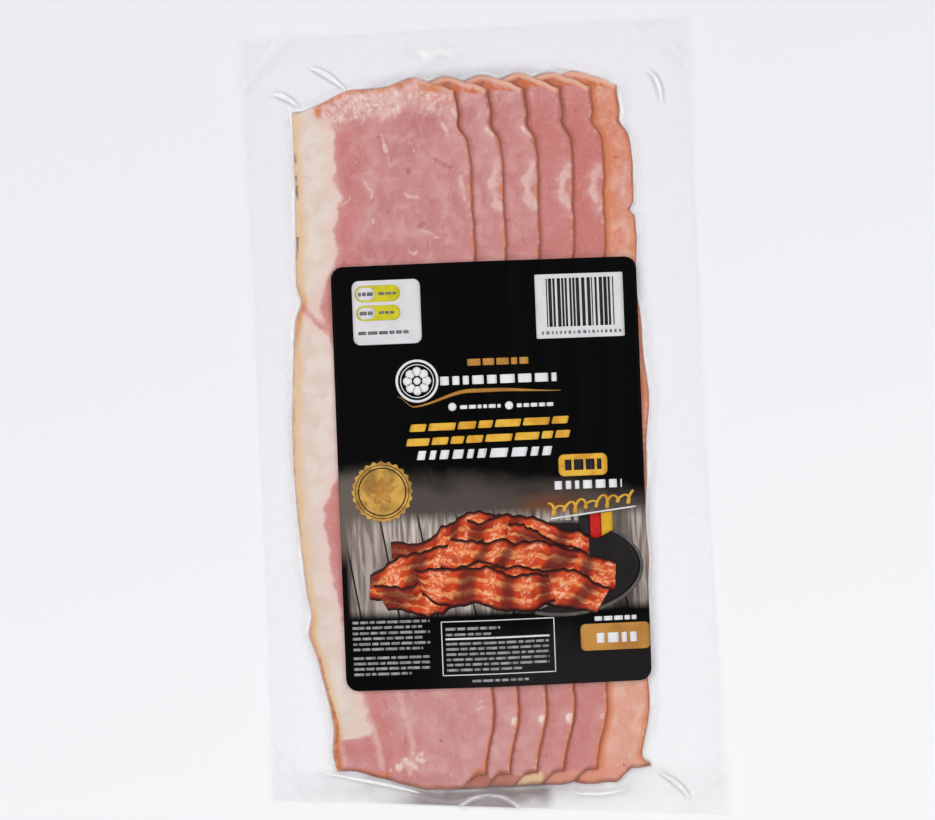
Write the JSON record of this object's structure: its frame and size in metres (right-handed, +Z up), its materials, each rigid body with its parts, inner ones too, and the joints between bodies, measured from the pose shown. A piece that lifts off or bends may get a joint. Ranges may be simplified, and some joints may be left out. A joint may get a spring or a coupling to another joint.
{
  "type": "bacon pack",
  "caption": "Flat vacuum pack of shingled smoked bacon rashers in clear clinging film with a sealed border and a large black label, lying label up.",
  "frame": {"origin": "centre of the pouch's outline, on the surface that the pack lies on", "axes": "+X towards the pack's right, +Y towards its top end, along the rashers, +Z up out of the label"},
  "size_m": [0.1478, 0.26, 0.0086],
  "materials": {
    "film": "clear glossy plastic film, drawn tight over the meat by the vacuum",
    "rasher": "moist cured pork: pink lean with pale marbling, cream fat along the rind, smoked brown edges",
    "label": "satin black printed sticker with white, gold and orange fields"
  },
  "bodies": {
    "root": {"pouch": "film", "label": "label"}
  },
  "joints": []
}
